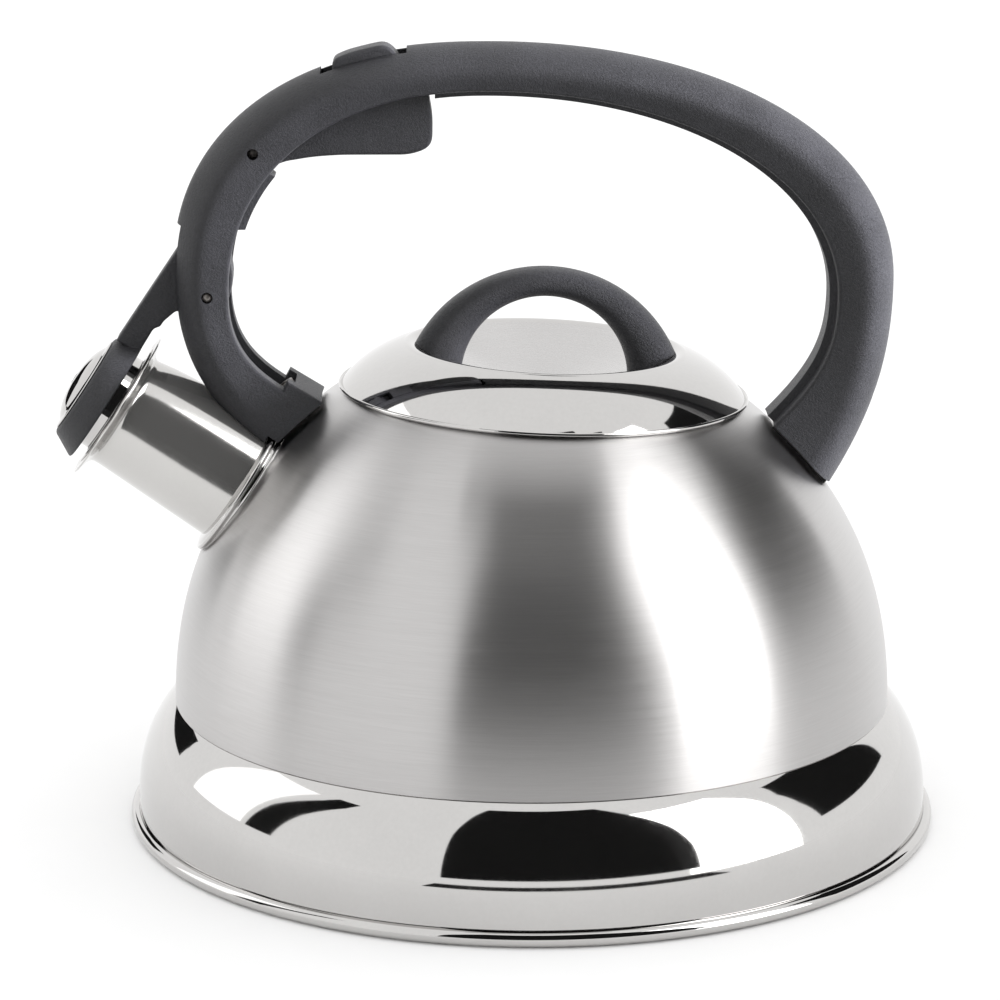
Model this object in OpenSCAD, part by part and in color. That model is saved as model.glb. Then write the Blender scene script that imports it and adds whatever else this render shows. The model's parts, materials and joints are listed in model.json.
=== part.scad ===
// Stovetop whistling kettle with an arched handle, a squeeze trigger and a lift-up whistle cap.
// The origin is the centre of the resting face. +Z is up, the spout points along -X, and the handle
// arches over the body in the XZ plane.

/* [Body] */
// Outer diameter of the rolled seam bead, the widest part of the body
base_d = 210; // [209:0.5:211]
// Thickness of the steel sheet
wall = 0.8; // [0.6:0.1:1]
// Radius of the filling mouth
mouth_r = 46.5; // [46:0.5:47]
// Height of the polished flare, where the brushed dome begins
flare_top = 32.6; // [31:0.2:34]

/* [Spout] */
// Angle of the spout above the horizontal
spout_angle = 33.8; // [33:0.2:34.6]
// Outer radius of the spout just under its lip
spout_r = 15.1; // [14.9:0.1:15.3]
// Radius of the flared lip
lip_r = 20.35; // [19:0.1:21]

/* [Handle] */
// Thickness of the handle from face to face
handle_t = 24; // [22:0.5:28]
// Width of the slot that holds the trigger and the spout lever
slot_w = 10.4; // [10.2:0.2:11]
// Radius of the two pivot pins
pin_r = 1.3; // [1.1:0.1:1.5]

/* [Lid] */
// How far the loose lid has slipped sideways on the dome, in degrees
lid_slip = 2.4; // [0:0.2:2.6]
// Radius of the ridge round the sunken dish
crest_r = 34.8; // [34.4:0.1:35.2]
// Depth of the sunken dish
dish_depth = 10; // [9:0.5:10.5]
// Thickness of the knob from face to face
knob_t = 13; // [10:0.5:14]

/* [Hidden] */
$fn = 96;

STEEL = [0.80, 0.80, 0.79];
BRUSHED = [0.72, 0.71, 0.70];
CHARCOAL = [0.20, 0.20, 0.22];
RUBBER = [0.10, 0.10, 0.11];

base_r = base_d / 2;
fit_gap = 0.06;       // between pieces that are welded or clamped together
slack = 0.05;         // radial clearance of a pin in its bore

// Dome: r(z) is a superellipse arc above dome_z0
dome_R = base_r - 12.1;
dome_z0 = 27;
dome_h = 106.3;
dome_n = 2.45;
dome_m = 1.46;
dome_steps = 26;
neck_len = 8;

// Flare: the polished skirt between the seam bead and the dome
bead_r = 1.9;
bead_z = 2.1;
bead_ring_r = base_r - bead_r;
skirt_z = 4.1;
skirt_r = base_r - 2.14;
flare_in_r = skirt_r - 11.2;
flare_n = 2.5;
flare_m = 1.25;
flare_steps = 14;
lap_h = 6;
lap_gap = 0.1;

// Spout frame: origin at the centre of the lip's plane, local Z out of the mouth
lip_centre = [-106.3, 0, 108.8];
lip_len = 1.75;
spout_taper = 0.041;
spout_len = 44;
collar_r = 19.8;

// Whistle cap, as distances out from the lip's plane
cap_in = 3;
cap_out = 9.7;
cap_in_r = 17.5;
cap_out_r = 14;
recess_r = 13.3;
recess_depth = 4.4;
steam_r = 1.5;
sheet = 0.6;

// Handle arch: superellipse quarters about peak_x, then curved legs
peak_x = -12;
outer_z = 141;
outer_top = 201.9;
outer_left = 79.4;
outer_right = 104.2;
inner_z = 138;
inner_top = 188.7;
inner_left = 63.2;
inner_right = 87.5;
arch_steps = 12;
leg_steps = 7;
wall_t = 2.6;
groove_t = 1.1;              // depth of the groove below the lever
groove_past = 2;             // how far its cutter stands out of the leg
edge_steps = [[0.52, 0], [0.8, 1.1], [1, 3]];   // share of the thickness, and inset of that slab

// Pivots, [x, z]
trigger_pivot = [-70.1, 175.1];
lever_pivot = [-82.2, 138.7];
part_t = slot_w - 0.8;       // thickness of the trigger and the lever
trigger_hub_r = 5.3;
lever_hub_r = 5.6;
pin_len = handle_t - 2;

// Spring round the lever pin
wire_r = 0.4;
coil_r = 2.6;
coil_y = [3.35, 4.2];
spring_recess_y = 2.8;
spring_recess_r = 7.6;

// Feet: brackets on the dome and the screws that hold the handle to them
plate_t = 1;
plate_w = handle_t - 10;
saddle_gap = 0.35;           // where the front foot straddles the spout
front_foot = [-58.5, 106.9];
front_lean = -36.2;
boss_r = 3;
boss_h = 4.6;
screw_seat = 7.2;
rear_foot = [68.5, 97];
rear_lean = 27.8;
rear_screw_at = [78.3, 116.9];
rear_seat = 4.4;
tongue_t = 1.6;
tongue_w = 7.6;
tongue_h = 25.2;
screw_r = 1.5;
head_r = 2.8;
head_h = 1.8;

// Lid, in its own level frame
slip_z = 42;                 // centre of the dome's crown, which the slipping lid turns about
rim_r = 52;
rim_bead = 0.6;
rim_z = 112.75;
crest_h = 11.6;
ring_arc_r = 31;
crest_round = 0.9;
crest_z = rim_z + crest_h;
dish_r = crest_r - 0.9;
dish_R = (dish_r * dish_r + dish_depth * dish_depth) / (2 * dish_depth);
dish_floor = crest_z - 0.25 - dish_depth;
skirt_ring_r = 41.6;
skirt_ring_z = 104;
lid_steps = 12;

// Knob
knob_out_r = 36.9;
knob_in_r = 21.3;
knob_top = 144.6;
knob_bar = 7.3;
knob_screw_x = 26.3;
washer_t = 0.9;

// ---------------------------------------------------------------- curves

function dome_r(z) = dome_R * pow(1 - pow((z - dome_z0) / dome_h, dome_n), 1 / dome_m);
function dome_z(r) = dome_z0 + dome_h * pow(1 - pow(r / dome_R, dome_m), 1 / dome_n);
function dome_slope(z) = (dome_r(z + 0.01) - dome_r(z - 0.01)) / 0.02;

// Point of the dome's section at height z, moved out along the surface's normal
function dome_point(z, out) =
    let (s = dome_slope(z), n = sqrt(1 + s * s))
    [dome_r(z) + out / n, z - out * s / n];

function dome_line(z0, z1, out) =
    [for (i = [0:dome_steps]) dome_point(z0 + (z1 - z0) * sin(90 * i / dome_steps), out)];

function flare_r(z) =
    flare_in_r + (skirt_r - flare_in_r)
    * pow(max(0, 1 - pow((z - skirt_z) / (flare_top + 0.4 - skirt_z), flare_n)), 1 / flare_m);

function flare_line(inset) =
    [for (i = [0:flare_steps])
        let (z = skirt_z + (flare_top - skirt_z) * sin(90 * i / flare_steps))
        [flare_r(z) - inset, z - inset * i / flare_steps]];

// One quarter of a superellipse about [cx, cz], from angle a0 to a1
function quarter(cx, cz, a, b, n, a0, a1) =
    [for (i = [0:arch_steps])
        let (t = a0 + (a1 - a0) * i / arch_steps)
        [cx + a * sign(cos(t)) * pow(abs(cos(t)), 2 / n), cz + b * pow(abs(sin(t)), 2 / n)]];

function bezier(p) =
    [for (i = [1:leg_steps])
        let (t = i / leg_steps, u = 1 - t)
        u * u * u * p[0] + 3 * u * u * t * p[1] + 3 * u * t * t * p[2] + t * t * t * p[3]];

function reversed(list) = [for (i = [len(list) - 1:-1:0]) list[i]];

// Outer edge of the handle from the front foot to the rear foot, moved in by d
function outer_edge(d) = concat(
    reversed(bezier([
        [peak_x - outer_left + d, outer_z], [-91.4 + d, 120],
        [-82.4 + d, 109.5 + d / 3], [-66 + d / 2, 91.5]
    ])),
    quarter(peak_x, outer_z, outer_left - d, outer_top - outer_z - d, 2.3, 180, 90.01),
    quarter(peak_x, outer_z, outer_right - d, outer_top - outer_z - d, 2.1, 89.99, 0),
    bezier([
        [peak_x + outer_right - d, outer_z], [92.2 - d, 122],
        [88.2 - d, 106 + d / 3], [74.5 - d / 2, 84.5]
    ])
);

// The outer edge's run down the front leg, moved in by d
function front_leg(d) =
    let (edge = outer_edge(d))
    [for (i = [0:leg_steps - 1]) edge[i]];

// Inner edge of the handle from the rear foot back to the front foot, moved out by d
function inner_edge(d) = concat(
    reversed(bezier([
        [peak_x + inner_right + d, inner_z], [75.5 + d, 124],
        [71 + d, 117 - d / 3], [58 + d / 2, 104]
    ])),
    quarter(peak_x, inner_z, inner_right + d, inner_top - inner_z + d, 2.05, 0, 89.99),
    quarter(peak_x, inner_z, inner_left + d, inner_top - inner_z + d, 2.2, 90.01, 180),
    bezier([
        [peak_x - inner_left - d, inner_z], [-75.2 - d, 124],
        [-68 - d, 118 - d / 3], [-51 - d / 2, 110]
    ])
);

// Height of the lid's polished ring above the rim at radius r, from an arc through rim and crest
ring_chord = [rim_r - crest_r, crest_h];
ring_half = norm(ring_chord) / 2;
ring_mid = [(rim_r + crest_r) / 2, crest_h / 2];
ring_back = sqrt(ring_arc_r * ring_arc_r - ring_half * ring_half) / (2 * ring_half);
ring_c = [ring_mid[0] - ring_chord[1] * ring_back, ring_mid[1] - ring_chord[0] * ring_back];
function ring_z(r, out) =
    rim_z + ring_c[1] + sqrt(pow(ring_arc_r + out, 2) - pow(r - ring_c[0], 2));
function dish_z(r) = dish_floor + dish_R - sqrt(dish_R * dish_R - r * r);

// ---------------------------------------------------------------- placing

module on_spout() {
    translate(lip_centre)
        rotate([0, spout_angle - 90, 0])
            children();
}

module on_lid() {
    translate([0, 0, slip_z])
        rotate([0, lid_slip, 0])
            translate([0, 0, -slip_z])
                children();
}

// A shape drawn in the XZ plane, given thickness t about y = 0
module slab(t) {
    rotate([90, 0, 0])
        linear_extrude(height = t, center = true)
            children();
}

// A pin along Y at [x, z], from y0 to y1
module rod_y(at, r, y0, y1) {
    translate([at[0], y0, at[1]])
        rotate([-90, 0, 0])
            cylinder(r = r, h = y1 - y0);
}

// A frame at [x, z] in the XZ plane whose local Z leans lean degrees from +Z towards +X
module leaning(at, lean) {
    translate([at[0], 0, at[1]])
        rotate([0, lean, 0])
            children();
}

module ring(r_in, r_out, z0, z1) {
    rotate_extrude()
        translate([r_in, z0])
            square([r_out - r_in, z1 - z0]);
}

// Everything inside the dome, grown out by the given amount
module dome_core(out) {
    top = dome_z(mouth_r);
    rotate_extrude()
        polygon(concat([[0, flare_top]], dome_line(flare_top, top, out), [[0, top + out]]));
}

// The spout tube's outer cone, grown by the given amount
module spout_core(out) {
    cylinder_from = -spout_len - 20;
    translate([0, 0, cylinder_from])
        cylinder(
            r1 = spout_r - (cylinder_from + lip_len) * spout_taper + out,
            r2 = spout_r + out,
            h = -cylinder_from - lip_len
        );
}

// ---------------------------------------------------------------- body

module dome_shell() {
    top = dome_z(mouth_r);
    neck_r = mouth_r - wall;
    inner_top = dome_z(mouth_r + 0.9);
    color(BRUSHED) difference() {
        rotate_extrude()
            polygon(concat(
                dome_line(flare_top + fit_gap, top, 0),
                [[neck_r + 0.2, top + 0.25], [neck_r, top], [neck_r, top - neck_len]],
                [[mouth_r, top - neck_len], [mouth_r, inner_top - 1.1]],
                reversed(dome_line(flare_top + fit_gap, inner_top, -wall))
            ));
        on_spout() spout_core(fit_gap);
    }
}

module base_flare() {
    // the lap runs up inside the dome, following its wall
    lap = [for (i = [0:3]) dome_point(flare_top + lap_h * i / 3, -wall - lap_gap)];
    color(STEEL) rotate_extrude()
        polygon(concat(
            flare_line(0),
            [[lap[0][0], flare_top - 0.1]],
            lap,
            reversed([for (p = lap) [p[0] - wall, p[1]]]),
            [[lap[0][0] - wall, flare_top - wall]],
            reversed(flare_line(wall))
        ));
}

module base_pan() {
    rise = 1.4;
    color(STEEL) union() {
        rotate_extrude()
            polygon([
                [0, 0], [base_r - 9, 0], [base_r - 6, 0.5], [bead_ring_r, bead_z - 0.6],
                [bead_ring_r, bead_z + 0.6], [base_r - 6.4, 0.5 + rise], [base_r - 9.2, rise], [0, rise]
            ]);
        rotate_extrude()
            translate([bead_ring_r, bead_z])
                circle(r = bead_r);
    }
}

module spout_tube() {
    root_r = spout_r + (spout_len - lip_len) * spout_taper;
    color(STEEL) on_spout()
        rotate_extrude()
            polygon([
                [root_r, -spout_len], [spout_r, -lip_len], [lip_r - 0.35, -0.55], [lip_r, -0.15],
                [lip_r - 0.3, 0.2], [spout_r + 0.2, -lip_len + 0.9], [spout_r - wall, -lip_len - 0.6],
                [root_r - wall, -spout_len]
            ]);
}

module spout_collar() {
    lip = collar_r;
    waist = collar_r - 0.9;
    color(STEEL) difference() {
        on_spout()
            rotate_extrude()
                polygon([
                    [spout_r, -45.5], [waist, -45.5], [waist, -40.4], [lip, -40], [lip, -38.9],
                    [waist, -38.4], [waist, -38], [lip, -37.5], [lip, -36.4], [waist, -36], [spout_r, -36]
                ]);
        on_spout() spout_core(fit_gap);
        dome_core(fit_gap);
    }
}

// ---------------------------------------------------------------- handle

// Slot that runs inside the arch, kept wall_t inside both edges, from the trigger down to the lever
module inner_channel() {
    intersection() {
        slab(slot_w) polygon(concat(outer_edge(wall_t), inner_edge(wall_t)));
        slab(slot_w + 1) polygon([
            [-24.2, 205], [-24.2, 180], [-50, 140], [-60.5, 125], [-60.5, 114.7], [-65.6, 111],
            [-68.2, 115], [-86, 124], [-95, 126], [-95, 205]
        ]);
    }
}

module handle_cuts() {
    inner_channel();
    // through slot for the trigger's rib, open at the top of the grip
    slab(slot_w) polygon([
        [-54.5, 185], [-29.8, 185], [-29.8, 194.5], [-31.6, 198], [-31.6, 215], [-54.5, 215]
    ]);
    // underside, where the paddle comes out
    slab(slot_w) polygon([
        [-64, 163], [-24.4, 179], [-24.4, 191], [-60, 188], [-70, 176], [-69.6, 168.2]
    ]);
    // outer edge of the front leg, where the spout lever comes out
    slab(slot_w) polygon([[-96, 124.5], [-86, 127.5], [-82, 155.5], [-96, 157]]);
    // shallow groove that carries the slot's line down the outer edge to the foot
    slab(slot_w) polygon(concat(front_leg(-groove_past), reversed(front_leg(groove_t))));
    // inner edge of the front leg, down to the seat of the front screw
    slab(slot_w) polygon([
        [-80, 122], [-68.2, 115], [-65.6, 111], [-60.5, 114.7], [-59, 130], [-70, 153.4], [-79, 154]
    ]);
}

module handle() {
    color(CHARCOAL) difference() {
        union() {
            for (s = edge_steps)
                slab(handle_t * s[0]) polygon(concat(outer_edge(s[1]), inner_edge(s[1])));
        }
        handle_cuts();
        dome_core(plate_t + 2 * fit_gap);
        on_spout() spout_core(saddle_gap);
        on_spout() ring(0, collar_r + saddle_gap, -60, -35.6);
        // front foot: socket for the threaded boss, and the screw's way in from the slot
        leaning(front_foot, front_lean) {
            ring(0, boss_r + 0.1, -4, boss_h + 0.15);
            ring(0, screw_r + slack, 0, screw_seat + 2);
            ring(0, head_r + 0.2, screw_seat, screw_seat + 12);
        }
        // rear foot: socket for the tongue, and a counterbored hole from the outer edge
        leaning(rear_foot, rear_lean)
            translate([-tongue_t / 2 - 0.2, -tongue_w / 2 - 0.2, -6])
                cube([tongue_t + 0.4, tongue_w + 0.4, tongue_h + 6.3]);
        leaning(rear_screw_at, rear_lean + 90) {
            ring(0, screw_r + slack, -4.6, 20);
            ring(0, head_r + 0.2, rear_seat, 20);
        }
        for (p = [trigger_pivot, lever_pivot])
            rod_y(p, pin_r + 0.03, -handle_t, handle_t);
    }
}

// Plate that follows the dome and is welded to it, under a foot
module dome_plate(foot, along, shift) {
    intersection() {
        rotate_extrude()
            polygon(concat(
                dome_line(80, dome_z(mouth_r + 1), fit_gap),
                reversed(dome_line(80, dome_z(mouth_r + 1), fit_gap + plate_t))
            ));
        leaning(foot, sign(foot[0]) * 45)
            translate([shift, 0, 0])
                cube([along, plate_w, 16], center = true);
    }
}

// Steel plate with a threaded boss that stands up into the front foot
module front_bracket() {
    color(STEEL) union() {
        dome_plate(front_foot, 9, 0.6);
        leaning(front_foot, front_lean)
            ring(screw_r + slack, boss_r, 0.7, boss_h);
    }
}

// Steel plate with a tongue that runs up inside the rear foot
module rear_bracket() {
    color(STEEL) union() {
        dome_plate(rear_foot, 20, 0);
        difference() {
            leaning(rear_foot, rear_lean)
                translate([-tongue_t / 2, -tongue_w / 2, 0.5])
                    cube([tongue_t, tongue_w, tongue_h - 0.5]);
            leaning(rear_screw_at, rear_lean + 90)
                ring(0, screw_r + slack, -10, 10);
        }
    }
}

module screw(length) {
    drive_r = head_r * 0.45;
    drive_h = head_h * 0.6;
    difference() {
        union() {
            cylinder(r = screw_r, h = length);
            translate([0, 0, length]) cylinder(r = head_r, h = head_h);
        }
        translate([0, 0, length + head_h - drive_h]) cylinder(r = drive_r, h = drive_h + 1, $fn = 6);
    }
}

module front_screw() {
    length = screw_seat - 2;
    color(STEEL) leaning(front_foot, front_lean)
        translate([0, 0, screw_seat + 0.05 - length]) screw(length);
}

module rear_screw() {
    length = 8.4;
    color(STEEL) leaning(rear_screw_at, rear_lean + 90)
        translate([0, 0, rear_seat + 0.05 - length]) screw(length);
}

module trigger_pin() {
    color(STEEL) rod_y(trigger_pivot, pin_r, -pin_len / 2, pin_len / 2);
}

module lever_pin() {
    color(STEEL) rod_y(lever_pivot, pin_r, -pin_len / 2, pin_len / 2);
}

// ---------------------------------------------------------------- trigger and whistle cap

module trigger() {
    tip_r = 5.5;
    color(CHARCOAL) difference() {
        union() {
            // paddle, and the rib up through the grip
            slab(part_t) polygon(concat(
                [[-70.1, 169.4], [-65.5, 170.6], [-62.9, 172.2], [-55.5, 173.4], [-48.9, 173.9]],
                [for (a = [-90:15:0]) [-30.6 + tip_r * cos(a), 174 + tip_r * (1 + sin(a))]],
                [
                    [-25.1, 183], [-26.4, 190.5], [-29, 192], [-31.5, 194], [-33.2, 198.5],
                    [-34.4, 201.2], [-36, 202], [-38.9, 201.7], [-42, 200.9], [-46.5, 199.7],
                    [-50.2, 198.2], [-51.2, 196], [-51.5, 190], [-56, 186], [-64, 180]
                ]
            ));
            rod_y(trigger_pivot, trigger_hub_r, -part_t / 2, part_t / 2);
            // tail down the front leg
            slab(part_t) polygon([
                [-75.2, 176], [-67, 171], [-72.6, 165.6], [-77.8, 158], [-80.3, 151.5], [-80.5, 147],
                [-81.7, 145.8], [-83.3, 146.2], [-84.9, 149.6], [-81.8, 160]
            ]);
        }
        rod_y(trigger_pivot, pin_r + slack, -handle_t, handle_t);
    }
}

module spout_lever() {
    color(CHARCOAL) difference() {
        union() {
            slab(part_t) polygon([
                [-107.4, 124.4], [-89.6, 150.4], [-87.4, 149.6], [-85.8, 145.5], [-82.2, 144.4],
                [-80.4, 144.2], [-79.6, 144.8], [-79, 147], [-77.6, 148.9], [-76.6, 148.2], [-75.9, 143],
                [-77, 137], [-82.2, 133], [-90.5, 134.2], [-93.6, 131.6], [-94.6, 130.2], [-96.3, 129.6],
                [-99.6, 124.4], [-104, 119.6]
            ]);
            rod_y(lever_pivot, lever_hub_r, -part_t / 2, part_t / 2);
            on_spout()
                translate([0, 0, cap_in])
                    cylinder(r1 = cap_in_r, r2 = cap_out_r, h = cap_out - cap_in);
        }
        rod_y(lever_pivot, pin_r + slack, -handle_t, handle_t);
        rod_y(lever_pivot, spring_recess_r, spring_recess_y, handle_t);
        on_spout() {
            ring(0, recess_r, cap_in - 1, cap_in + recess_depth);
            ring(0, steam_r + 0.7, cap_in, cap_out + 5);
        }
    }
}

// Torsion spring: two closed turns round the pin and a leg each way
module lever_spring() {
    leg = 6.6;
    color(STEEL) union() {
        for (y = coil_y)
            translate([lever_pivot[0], y, lever_pivot[1]])
                rotate([90, 0, 0])
                    rotate_extrude()
                        translate([coil_r, 0]) circle(r = wire_r, $fn = 24);
        translate([lever_pivot[0], (coil_y[0] + coil_y[1]) / 2, lever_pivot[1]])
            rotate([90, 0, 0])
                rotate_extrude()
                    translate([coil_r, 0]) circle(r = wire_r * 0.8, $fn = 24);
        translate([lever_pivot[0] + coil_r, coil_y[1], lever_pivot[1] - leg])
            cylinder(r = wire_r, h = leg, $fn = 24);
        leaning([lever_pivot[0], lever_pivot[1]], 214)
            translate([coil_r, coil_y[0], 0]) cylinder(r = wire_r, h = leg, $fn = 24);
    }
}

module cap_disc() {
    foot = cap_out + fit_gap;
    rise = 2.7;
    flange_r = 12.9;
    dome_base = 10.4;
    steps = 10;
    crown_R = (dome_base * dome_base + rise * rise) / (2 * rise);
    top = [for (i = [0:steps])
        let (r = steam_r + (dome_base - steam_r) * i / steps)
        [r, foot + sheet + rise - crown_R + sqrt(crown_R * crown_R - r * r)]];
    color(STEEL) on_spout()
        rotate_extrude()
            polygon(concat(
                top,
                [[flange_r - 0.3, foot + sheet], [flange_r, foot + sheet / 2], [flange_r - 0.2, foot]],
                reversed([for (p = top) [p[0] - 0.1 * p[0] / dome_base, max(foot, p[1] - sheet)]])
            ));
}

module whistle_cup() {
    seal_r = 17.2;
    seal_t = 0;
    plug_r = 12.2;
    seat_r = recess_r - 0.08;
    color(STEEL) on_spout()
        rotate_extrude()
            polygon([
                [steam_r, -2.8], [plug_r - 0.6, -2.8], [plug_r, -2.2], [plug_r, seal_t], [seal_r, seal_t],
                [seal_r, seal_t + sheet], [seat_r, seal_t + sheet], [seat_r, cap_in + 3],
                [seat_r - sheet, cap_in + 3], [seat_r - sheet, seal_t + sheet],
                [plug_r - sheet, seal_t + sheet], [plug_r - sheet, -2.2], [steam_r, -2.2]
            ]);
}

module whistle_disc() {
    color(STEEL) on_spout()
        ring(steam_r, recess_r - sheet - 0.16, cap_in + 0.8, cap_in + 0.8 + sheet);
}

// ---------------------------------------------------------------- lid

module lid_shell() {
    rise = [for (i = [0:lid_steps])
        let (r = crest_r + (rim_r - crest_r) * (1 - cos(90 * i / lid_steps)))
        [r, ring_z(r, 0)]];
    under_r = rim_r - rim_bead * 1.5;
    under = [for (i = [0:lid_steps])
        let (r = crest_r + (under_r - crest_r) * (1 - cos(90 * i / lid_steps)))
        [r, ring_z(r, -wall) - 0.05]];
    dish = [for (i = [0:lid_steps]) [dish_r * i / lid_steps, dish_z(dish_r * i / lid_steps)]];
    crest = [[crest_r - crest_round * 0.6, crest_z + 0.05]];
    color(STEEL) on_lid() difference() {
        union() {
            rotate_extrude()
                polygon(concat(
                    dish, crest, rise,
                    reversed(under),
                    reversed([for (p = dish) [p[0], p[1] - wall]])
                ));
            rotate_extrude()
                translate([rim_r, rim_z]) circle(r = rim_bead, $fn = 32);
        }
        knob_bores();
    }
}

module lid_skirt() {
    top = ring_z(skirt_ring_r, -wall) - 0.1;
    color(STEEL) on_lid()
        rotate_extrude()
            polygon([
                [skirt_ring_r - wall - 0.6, skirt_ring_z + 0.2], [skirt_ring_r - 0.4, skirt_ring_z],
                [skirt_ring_r, skirt_ring_z + 0.8], [skirt_ring_r, top],
                [skirt_ring_r - wall, top], [skirt_ring_r - wall, skirt_ring_z + 0.8]
            ]);
}

// Screw axes of the knob stand square to the dish
module at_knob_foot(side) {
    lean = asin(knob_screw_x / dish_R);
    translate([side * knob_screw_x, 0, dish_z(knob_screw_x)])
        rotate([0, -side * lean, 0])
            children();
}

// Clearance holes for the knob's screws, through the dish and up into the feet
module knob_bores() {
    for (side = [-1, 1])
        at_knob_foot(side)
            translate([0, 0, -3])
                cylinder(r = screw_r + slack, h = 13);
}

module lid_knob() {
    knob_edges = [[0.62, 0], [0.86, 0.8], [1, 2]];
    color(CHARCOAL) on_lid() difference() {
        union() {
            for (e = knob_edges)
                slab(knob_t * e[0]) difference() {
                    translate([0, knob_top - knob_out_r]) circle(r = knob_out_r - e[1]);
                    translate([0, knob_top - knob_bar - knob_in_r]) circle(r = knob_in_r + e[1] * 0.8);
                    translate([-50, crest_z - dish_depth - 60]) square([100, 60]);
                }
        }
        // seat of the feet on the dish
        rotate_extrude()
            polygon(concat(
                [[0, dish_floor - 20]],
                [for (i = [0:lid_steps])
                    let (r = (dish_r - 0.15) * i / lid_steps)
                    [r, dish_z(r) + fit_gap]],
                [[dish_r - 0.15, crest_z + 8], [60, crest_z + 8], [60, dish_floor - 20]]
            ));
        knob_bores();
    }
}

module knob_screws() {
    color(STEEL) on_lid()
        for (side = [-1, 1])
            at_knob_foot(side)
                translate([0, 0, 8.6])
                    rotate([180, 0, 0])
                        screw(8.6 + wall + washer_t + 3 * fit_gap + 0.1);
}

module knob_washers() {
    color(RUBBER) on_lid()
        for (side = [-1, 1])
            at_knob_foot(side)
                ring(screw_r + slack, head_r + 1, -wall - washer_t - 0.16, -wall - 0.16);
}

dome_shell();
base_flare();
base_pan();
spout_tube();
spout_collar();
handle();
front_bracket();
rear_bracket();
front_screw();
rear_screw();
trigger();
trigger_pin();
spout_lever();
lever_pin();
lever_spring();
cap_disc();
whistle_cup();
whistle_disc();
lid_shell();
lid_skirt();
lid_knob();
knob_screws();
knob_washers();
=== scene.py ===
"""Stovetop whistling kettle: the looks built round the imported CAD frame. Lengths in the code are in mm."""

import json
import math

import bmesh
import bpy
from mathutils import Matrix, Vector

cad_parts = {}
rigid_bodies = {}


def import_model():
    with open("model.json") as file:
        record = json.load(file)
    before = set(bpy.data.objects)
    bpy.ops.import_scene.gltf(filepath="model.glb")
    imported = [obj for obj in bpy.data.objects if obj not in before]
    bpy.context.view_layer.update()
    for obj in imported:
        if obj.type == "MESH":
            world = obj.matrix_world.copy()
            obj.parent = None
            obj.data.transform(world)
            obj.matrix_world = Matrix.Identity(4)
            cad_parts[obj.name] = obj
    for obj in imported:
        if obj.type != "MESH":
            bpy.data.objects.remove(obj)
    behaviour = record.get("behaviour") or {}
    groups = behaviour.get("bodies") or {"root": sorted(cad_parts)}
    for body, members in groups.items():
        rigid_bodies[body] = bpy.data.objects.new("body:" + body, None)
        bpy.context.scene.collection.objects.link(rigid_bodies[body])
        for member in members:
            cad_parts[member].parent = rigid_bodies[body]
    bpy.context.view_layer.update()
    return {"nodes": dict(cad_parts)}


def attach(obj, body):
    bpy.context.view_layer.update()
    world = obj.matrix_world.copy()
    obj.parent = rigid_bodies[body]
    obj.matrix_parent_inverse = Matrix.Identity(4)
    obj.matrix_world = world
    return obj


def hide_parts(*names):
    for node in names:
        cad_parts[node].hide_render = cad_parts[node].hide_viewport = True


MM = 0.001

# ------------------------------------------------------------------ camera


def make_camera():
    data = bpy.data.cameras.new("camera")
    data.sensor_width = 36
    data.lens = 130.3
    data.clip_end = 50
    cam = bpy.data.objects.new("camera", data)
    bpy.context.scene.collection.objects.link(cam)
    place = Vector((-23.8, -907.7, 311.0)) * MM
    aim = Vector((-8.2, 0.2, 83.3)) * MM
    cam.location = place
    cam.rotation_euler = (aim - place).to_track_quat("-Z", "Y").to_euler()
    bpy.context.scene.camera = cam


make_camera()
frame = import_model()

# ------------------------------------------------------------------ measures shared with the CAD

WALL = 0.8
DOME_R, DOME_Z0, DOME_H, DOME_N, DOME_M = 92.9, 27.0, 106.3, 2.45, 1.46
MOUTH_R = 46.5
FLARE_TOP = 32.6
BEAD_R, BEAD_Z, BEAD_RING = 1.9, 2.1, 103.09
SKIRT_R, SKIRT_Z, FLARE_IN = 102.86, 4.1, 91.66
SPOUT_ANGLE = 33.8
LIP = Vector((-106.3, 0, 108.8))
TRIGGER_PIVOT = (-70.1, 175.1)
LEVER_PIVOT = (-82.2, 138.7)
SLOT_HALF, BLADE_HALF = 5.2, 4.8  # half the handle's slot, and half the trigger and lever that run in it
PIN_R, BORE_R, PIN_HOLE_R = 1.25, 1.35, 1.42
THROUGH = 14  # a cutter that reaches this far to each side passes right through the handle
PEAK_X = -12
OUTER_Z, OUTER_RISE, OUTER_FRONT, OUTER_REAR = 141, 60.9, 79.4, 104.2
INNER_Z, INNER_RISE, INNER_FRONT, INNER_REAR = 138, 50.7, 63.2, 87.5
LID_SLIP, SLIP_Z = 2.4, 42
RIM_R, RIM_Z, CREST_R, CREST_H, RING_R = 52, 112.75, 34.8, 11.6, 31
DISH_R, DISH_DEPTH = 33.9, 10
CREST_Z = RIM_Z + CREST_H
DISH_BALL = (DISH_R**2 + DISH_DEPTH**2) / (2 * DISH_DEPTH)
DISH_FLOOR = CREST_Z - 0.25 - DISH_DEPTH

ON_SPOUT = Matrix.Translation(LIP) @ Matrix.Rotation(math.radians(SPOUT_ANGLE - 90), 4, "Y")
ON_LID = (
    Matrix.Translation((0, 0, SLIP_Z))
    @ Matrix.Rotation(math.radians(LID_SLIP), 4, "Y")
    @ Matrix.Translation((0, 0, -SLIP_Z))
)
HERE = Matrix.Identity(4)


def dome_r(z):
    """Radius of the dome's outside at height z."""
    return DOME_R * (1 - ((z - DOME_Z0) / DOME_H) ** DOME_N) ** (1 / DOME_M)


def dome_z(r):
    """Height of the dome's outside at radius r."""
    return DOME_Z0 + DOME_H * (1 - (r / DOME_R) ** DOME_M) ** (1 / DOME_N)


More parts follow.
